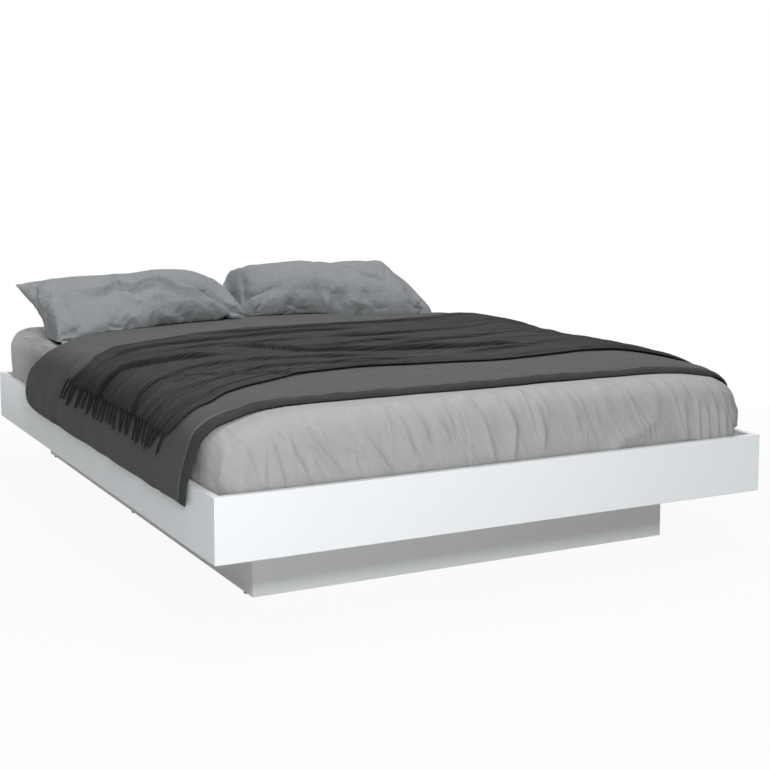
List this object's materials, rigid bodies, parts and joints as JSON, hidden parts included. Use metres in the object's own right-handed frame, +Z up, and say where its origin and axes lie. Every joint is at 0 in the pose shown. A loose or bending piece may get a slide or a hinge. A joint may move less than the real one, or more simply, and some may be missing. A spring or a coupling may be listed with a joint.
{
  "type": "platform bed",
  "caption": "Low white platform bed on a recessed plinth, dressed with a mattress in a fitted sheet, a dark duvet, a fringed knitted throw and two pillows.",
  "frame": {"origin": "middle of the whole bed's box, on the floor", "axes": "+X to the right seen from the foot, +Y from the foot to the head, +Z up"},
  "size_m": [1.6352, 2.1, 0.6719],
  "materials": {
    "white_melamine": "satin",
    "pine": "matte",
    "beech": "matte",
    "zinc_plated_steel": "satin",
    "glide_plastic": "matte",
    "mattress_ticking": "matte",
    "sheet_cotton": "matte",
    "duvet_cotton": "matte",
    "throw_knit": "matte",
    "pillow_linen": "matte"
  },
  "bodies": {
    "frame": {"foot_rail": "white_melamine", "head_rail": "white_melamine", "side_rail_left": "white_melamine", "side_rail_right": "white_melamine", "plinth_foot_board": "white_melamine", "plinth_head_board": "white_melamine", "plinth_left_board": "white_melamine", "plinth_right_board": "white_melamine", "plinth_centre_board": "white_melamine", "plinth_cross_board_1": "white_melamine", "plinth_cross_board_2": "white_melamine", "plinth_cross_board_3": "white_melamine", "plinth_cross_board_4": "white_melamine", "bearer_left": "pine", "bearer_centre": "pine", "bearer_right": "pine", "ledger_left": "pine", "ledger_right": "pine", "ledger_foot": "pine", "ledger_head": "pine", "slat_01": "pine", "slat_02": "pine", "slat_03": "pine", "slat_04": "pine", "slat_05": "pine", "slat_06": "pine", "slat_07": "pine", "slat_08": "pine", "slat_09": "pine", "slat_10": "pine", "slat_11": "pine", "slat_12": "pine", "slat_13": "pine", "slat_14": "pine", "rail_dowels": "beech", "plinth_dowels": "beech", "cross_board_dowels": "beech", "rail_cam_bolts": "zinc_plated_steel", "rail_cam_locks": "zinc_plated_steel", "plinth_cam_bolts": "zinc_plated_steel", "plinth_cam_locks": "zinc_plated_steel", "ledger_screws": "zinc_plated_steel", "bearer_screws": "zinc_plated_steel", "slat_screws": "zinc_plated_steel", "bearer_brackets": "zinc_plated_steel", "bracket_screws": "zinc_plated_steel", "floor_glides": "glide_plastic"},
    "mattress": {"mattress": "mattress_ticking", "fitted_sheet": "sheet_cotton", "duvet": "duvet_cotton", "throw": "throw_knit", "throw_fringe_left": "throw_knit", "throw_fringe_right": "throw_knit"},
    "pillow_left": {"pillow_left": "pillow_linen"},
    "pillow_right": {"pillow_right": "pillow_linen"}
  },
  "joints": [
    {"name": "mattress_lift", "type": "slide", "parent": "frame", "child": "mattress", "axis": [0, 0, 1], "range_m": [0, 0.4]},
    {"name": "pillow_left_lift", "type": "slide", "parent": "mattress", "child": "pillow_left", "axis": [0, 0, 1], "range_m": [0, 0.3]},
    {"name": "pillow_right_lift", "type": "slide", "parent": "mattress", "child": "pillow_right", "axis": [0, 0, 1], "range_m": [0, 0.3]}
  ]
}
